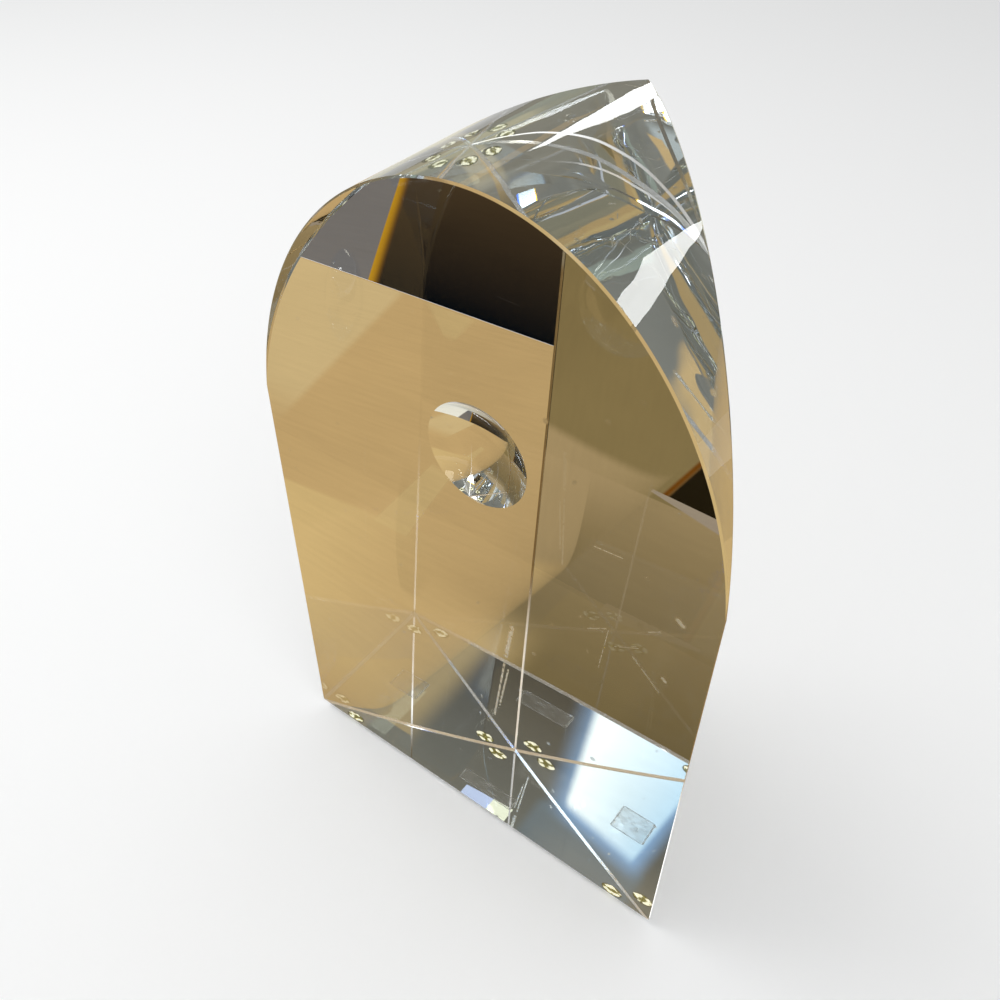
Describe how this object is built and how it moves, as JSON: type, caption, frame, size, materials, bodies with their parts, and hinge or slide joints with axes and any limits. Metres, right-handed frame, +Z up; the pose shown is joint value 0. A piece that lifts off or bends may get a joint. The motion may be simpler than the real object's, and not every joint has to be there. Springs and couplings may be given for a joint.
{
  "type": "crystal owl sculpture",
  "caption": "Solid clear crystal block with an arched top, triangular in plan, whose single ground hollow reads as a pair of owl eyes from the ridge; stands on clear bumper feet.",
  "frame": {"origin": "middle of the footprint's bounding box, at the level that the feet stand on", "axes": "+Z up, the flat front face looks along -Y, the upright ridge is at +Y, +X to the right seen from the front"},
  "size_m": [0.12, 0.06, 0.1939],
  "materials": {
    "crystal": "polished clear optical crystal",
    "bumper": "clear soft polyurethane, slightly yellowed",
    "film": "plain translucent adhesive film"
  },
  "bodies": {
    "root": {"crystal_block": "crystal", "foot_left": "bumper", "foot_right": "bumper", "foot_ridge": "bumper", "base_label": "film"}
  },
  "joints": []
}
